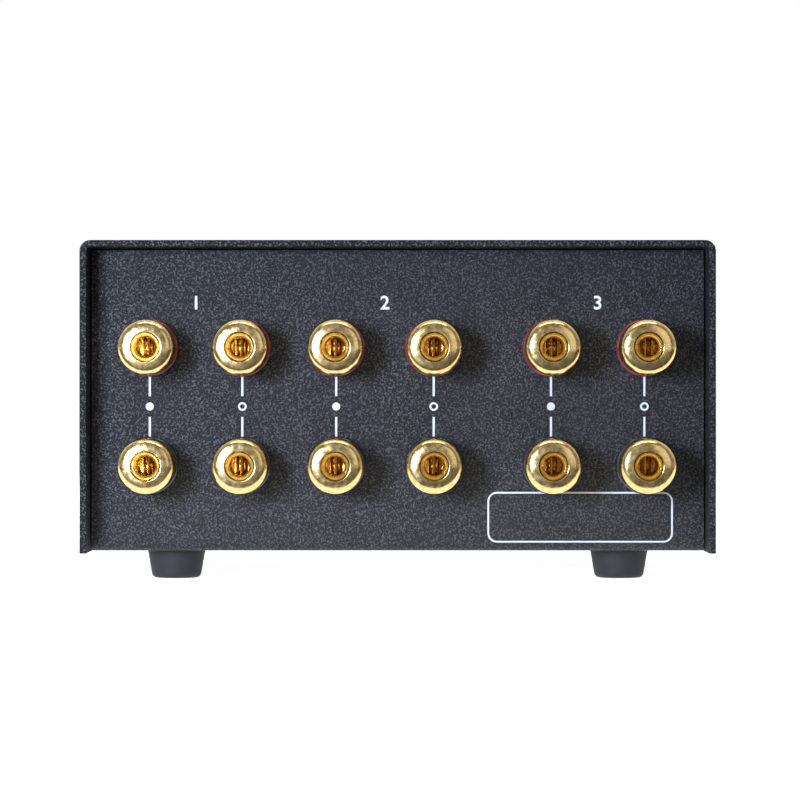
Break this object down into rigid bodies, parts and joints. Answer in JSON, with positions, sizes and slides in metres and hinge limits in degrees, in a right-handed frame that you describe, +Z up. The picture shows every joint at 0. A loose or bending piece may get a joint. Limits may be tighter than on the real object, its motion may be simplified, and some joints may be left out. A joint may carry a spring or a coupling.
{
  "type": "speaker selector switch",
  "caption": "Low steel box that switches speaker lines, with a front knob and rear binding posts whose caps screw outward.",
  "frame": {"origin": "on the floor, under the middle of the whole object's width and depth", "axes": "+X along the width, to the left as seen from behind; +Y out of the rear panel; +Z up"},
  "size_m": [0.14, 0.132, 0.0753],
  "materials": {
    "panel_paint": "fine grained black powder coat",
    "case_paint": "fine grained black powder coat",
    "fascia_metal": "black anodised, brushed",
    "zinc": "bright zinc plate",
    "black_steel": "black oxide",
    "rubber": "moulded, satin",
    "gold": "gold plate, polished",
    "red_plastic": "moulded, gloss",
    "black_plastic": "moulded, gloss",
    "fibre": "pressed fibre",
    "brass": "plain brass",
    "laminate": "phenolic laminate",
    "white_plastic": "moulded nylon",
    "steel": "ground",
    "knob_metal": "black anodised, turned",
    "red_wire": "flexible insulation",
    "black_wire": "flexible insulation"
  },
  "bodies": {
    "case": {"base_chassis": "panel_paint", "top_cover": "case_paint", "front_fascia": "fascia_metal", "fascia_screws": "zinc", "cover_screws": "black_steel", "foot_screws": "zinc", "foot_nuts": "zinc", "foot_front_left": "rubber", "foot_front_right": "rubber", "foot_rear_left": "rubber", "foot_rear_right": "rubber", "post_studs": "gold", "post_bushings_red": "red_plastic", "post_bushings_black": "black_plastic", "post_insulators": "fibre", "post_nuts": "brass", "switch_bushing": "brass", "switch_nut": "zinc", "switch_lock_washer": "zinc", "switch_frame": "zinc", "switch_rods": "zinc", "switch_spacers": "zinc", "switch_wafer_front": "laminate", "switch_wafer_rear": "laminate", "switch_contacts": "brass", "wires_red": "red_wire", "wires_black": "black_wire"},
    "knob": {"knob": "knob_metal", "knob_setscrew": "black_steel", "switch_shaft": "steel", "switch_rotor_front": "white_plastic", "switch_rotor_rear": "white_plastic"},
    "ring_first_in_left_pos": {"ring_first_in_left_pos": "red_plastic"},
    "cap_first_in_left_pos": {"cap_first_in_left_pos": "gold"},
    "ring_first_in_right_pos": {"ring_first_in_right_pos": "red_plastic"},
    "cap_first_in_right_pos": {"cap_first_in_right_pos": "gold"},
    "ring_second_in_left_pos": {"ring_second_in_left_pos": "red_plastic"},
    "cap_second_in_left_pos": {"cap_second_in_left_pos": "gold"},
    "ring_second_in_right_pos": {"ring_second_in_right_pos": "red_plastic"},
    "cap_second_in_right_pos": {"cap_second_in_right_pos": "gold"},
    "ring_out_left_pos": {"ring_out_left_pos": "red_plastic"},
    "cap_out_left_pos": {"cap_out_left_pos": "gold"},
    "ring_out_right_pos": {"ring_out_right_pos": "red_plastic"},
    "cap_out_right_pos": {"cap_out_right_pos": "gold"},
    "ring_first_in_left_neg": {"ring_first_in_left_neg": "black_plastic"},
    "cap_first_in_left_neg": {"cap_first_in_left_neg": "gold"},
    "ring_first_in_right_neg": {"ring_first_in_right_neg": "black_plastic"},
    "cap_first_in_right_neg": {"cap_first_in_right_neg": "gold"},
    "ring_second_in_left_neg": {"ring_second_in_left_neg": "black_plastic"},
    "cap_second_in_left_neg": {"cap_second_in_left_neg": "gold"},
    "ring_second_in_right_neg": {"ring_second_in_right_neg": "black_plastic"},
    "cap_second_in_right_neg": {"cap_second_in_right_neg": "gold"},
    "ring_out_left_neg": {"ring_out_left_neg": "black_plastic"},
    "cap_out_left_neg": {"cap_out_left_neg": "gold"},
    "ring_out_right_neg": {"ring_out_right_neg": "black_plastic"},
    "cap_out_right_neg": {"cap_out_right_neg": "gold"}
  },
  "joints": [
    {"name": "knob_turn", "type": "hinge", "parent": "case", "child": "knob", "pos_m": [0, -0.057, 0.0405], "axis": [0, 1, 0], "range_deg": [0, 60]},
    {"name": "ring_travel_first_in_left_pos", "type": "slide", "parent": "case", "child": "ring_first_in_left_pos", "axis": [0, 1, 0], "range_m": [0, 0.004]},
    {"name": "cap_turn_first_in_left_pos", "type": "hinge", "parent": "ring_first_in_left_pos", "child": "cap_first_in_left_pos", "pos_m": [0.0552, 0.061, 0.0517], "axis": [0, 1, 0], "range_deg": [0, 1440]},
    {"name": "ring_travel_first_in_right_pos", "type": "slide", "parent": "case", "child": "ring_first_in_right_pos", "axis": [0, 1, 0], "range_m": [0, 0.004]},
    {"name": "cap_turn_first_in_right_pos", "type": "hinge", "parent": "ring_first_in_right_pos", "child": "cap_first_in_right_pos", "pos_m": [0.0346, 0.061, 0.0517], "axis": [0, 1, 0], "range_deg": [0, 1440]},
    {"name": "ring_travel_second_in_left_pos", "type": "slide", "parent": "case", "child": "ring_second_in_left_pos", "axis": [0, 1, 0], "range_m": [0, 0.004]},
    {"name": "cap_turn_second_in_left_pos", "type": "hinge", "parent": "ring_second_in_left_pos", "child": "cap_second_in_left_pos", "pos_m": [0.0137, 0.061, 0.0517], "axis": [0, 1, 0], "range_deg": [0, 1440]},
    {"name": "ring_travel_second_in_right_pos", "type": "slide", "parent": "case", "child": "ring_second_in_right_pos", "axis": [0, 1, 0], "range_m": [0, 0.004]},
    {"name": "cap_turn_second_in_right_pos", "type": "hinge", "parent": "ring_second_in_right_pos", "child": "cap_second_in_right_pos", "pos_m": [-0.008, 0.061, 0.0517], "axis": [0, 1, 0], "range_deg": [0, 1440]},
    {"name": "ring_travel_out_left_pos", "type": "slide", "parent": "case", "child": "ring_out_left_pos", "axis": [0, 1, 0], "range_m": [0, 0.004]},
    {"name": "cap_turn_out_left_pos", "type": "hinge", "parent": "ring_out_left_pos", "child": "cap_out_left_pos", "pos_m": [-0.0341, 0.061, 0.0517], "axis": [0, 1, 0], "range_deg": [0, 1440]},
    {"name": "ring_travel_out_right_pos", "type": "slide", "parent": "case", "child": "ring_out_right_pos", "axis": [0, 1, 0], "range_m": [0, 0.004]},
    {"name": "cap_turn_out_right_pos", "type": "hinge", "parent": "ring_out_right_pos", "child": "cap_out_right_pos", "pos_m": [-0.0549, 0.061, 0.0517], "axis": [0, 1, 0], "range_deg": [0, 1440]},
    {"name": "ring_travel_first_in_left_neg", "type": "slide", "parent": "case", "child": "ring_first_in_left_neg", "axis": [0, 1, 0], "range_m": [0, 0.004]},
    {"name": "cap_turn_first_in_left_neg", "type": "hinge", "parent": "ring_first_in_left_neg", "child": "cap_first_in_left_neg", "pos_m": [0.0552, 0.061, 0.0256], "axis": [0, 1, 0], "range_deg": [0, 1440]},
    {"name": "ring_travel_first_in_right_neg", "type": "slide", "parent": "case", "child": "ring_first_in_right_neg", "axis": [0, 1, 0], "range_m": [0, 0.004]},
    {"name": "cap_turn_first_in_right_neg", "type": "hinge", "parent": "ring_first_in_right_neg", "child": "cap_first_in_right_neg", "pos_m": [0.0346, 0.061, 0.0256], "axis": [0, 1, 0], "range_deg": [0, 1440]},
    {"name": "ring_travel_second_in_left_neg", "type": "slide", "parent": "case", "child": "ring_second_in_left_neg", "axis": [0, 1, 0], "range_m": [0, 0.004]},
    {"name": "cap_turn_second_in_left_neg", "type": "hinge", "parent": "ring_second_in_left_neg", "child": "cap_second_in_left_neg", "pos_m": [0.0137, 0.061, 0.0256], "axis": [0, 1, 0], "range_deg": [0, 1440]},
    {"name": "ring_travel_second_in_right_neg", "type": "slide", "parent": "case", "child": "ring_second_in_right_neg", "axis": [0, 1, 0], "range_m": [0, 0.004]},
    {"name": "cap_turn_second_in_right_neg", "type": "hinge", "parent": "ring_second_in_right_neg", "child": "cap_second_in_right_neg", "pos_m": [-0.008, 0.061, 0.0256], "axis": [0, 1, 0], "range_deg": [0, 1440]},
    {"name": "ring_travel_out_left_neg", "type": "slide", "parent": "case", "child": "ring_out_left_neg", "axis": [0, 1, 0], "range_m": [0, 0.004]},
    {"name": "cap_turn_out_left_neg", "type": "hinge", "parent": "ring_out_left_neg", "child": "cap_out_left_neg", "pos_m": [-0.0341, 0.061, 0.0256], "axis": [0, 1, 0], "range_deg": [0, 1440]},
    {"name": "ring_travel_out_right_neg", "type": "slide", "parent": "case", "child": "ring_out_right_neg", "axis": [0, 1, 0], "range_m": [0, 0.004]},
    {"name": "cap_turn_out_right_neg", "type": "hinge", "parent": "ring_out_right_neg", "child": "cap_out_right_neg", "pos_m": [-0.0549, 0.061, 0.0256], "axis": [0, 1, 0], "range_deg": [0, 1440]}
  ],
  "couplings": [
    {"joint": "ring_travel_first_in_left_pos", "follows": "cap_turn_first_in_left_pos", "m_per_rad": 0.00015915},
    {"joint": "ring_travel_first_in_right_pos", "follows": "cap_turn_first_in_right_pos", "m_per_rad": 0.00015915},
    {"joint": "ring_travel_second_in_left_pos", "follows": "cap_turn_second_in_left_pos", "m_per_rad": 0.00015915},
    {"joint": "ring_travel_second_in_right_pos", "follows": "cap_turn_second_in_right_pos", "m_per_rad": 0.00015915},
    {"joint": "ring_travel_out_left_pos", "follows": "cap_turn_out_left_pos", "m_per_rad": 0.00015915},
    {"joint": "ring_travel_out_right_pos", "follows": "cap_turn_out_right_pos", "m_per_rad": 0.00015915},
    {"joint": "ring_travel_first_in_left_neg", "follows": "cap_turn_first_in_left_neg", "m_per_rad": 0.00015915},
    {"joint": "ring_travel_first_in_right_neg", "follows": "cap_turn_first_in_right_neg", "m_per_rad": 0.00015915},
    {"joint": "ring_travel_second_in_left_neg", "follows": "cap_turn_second_in_left_neg", "m_per_rad": 0.00015915},
    {"joint": "ring_travel_second_in_right_neg", "follows": "cap_turn_second_in_right_neg", "m_per_rad": 0.00015915},
    {"joint": "ring_travel_out_left_neg", "follows": "cap_turn_out_left_neg", "m_per_rad": 0.00015915},
    {"joint": "ring_travel_out_right_neg", "follows": "cap_turn_out_right_neg", "m_per_rad": 0.00015915}
  ]
}
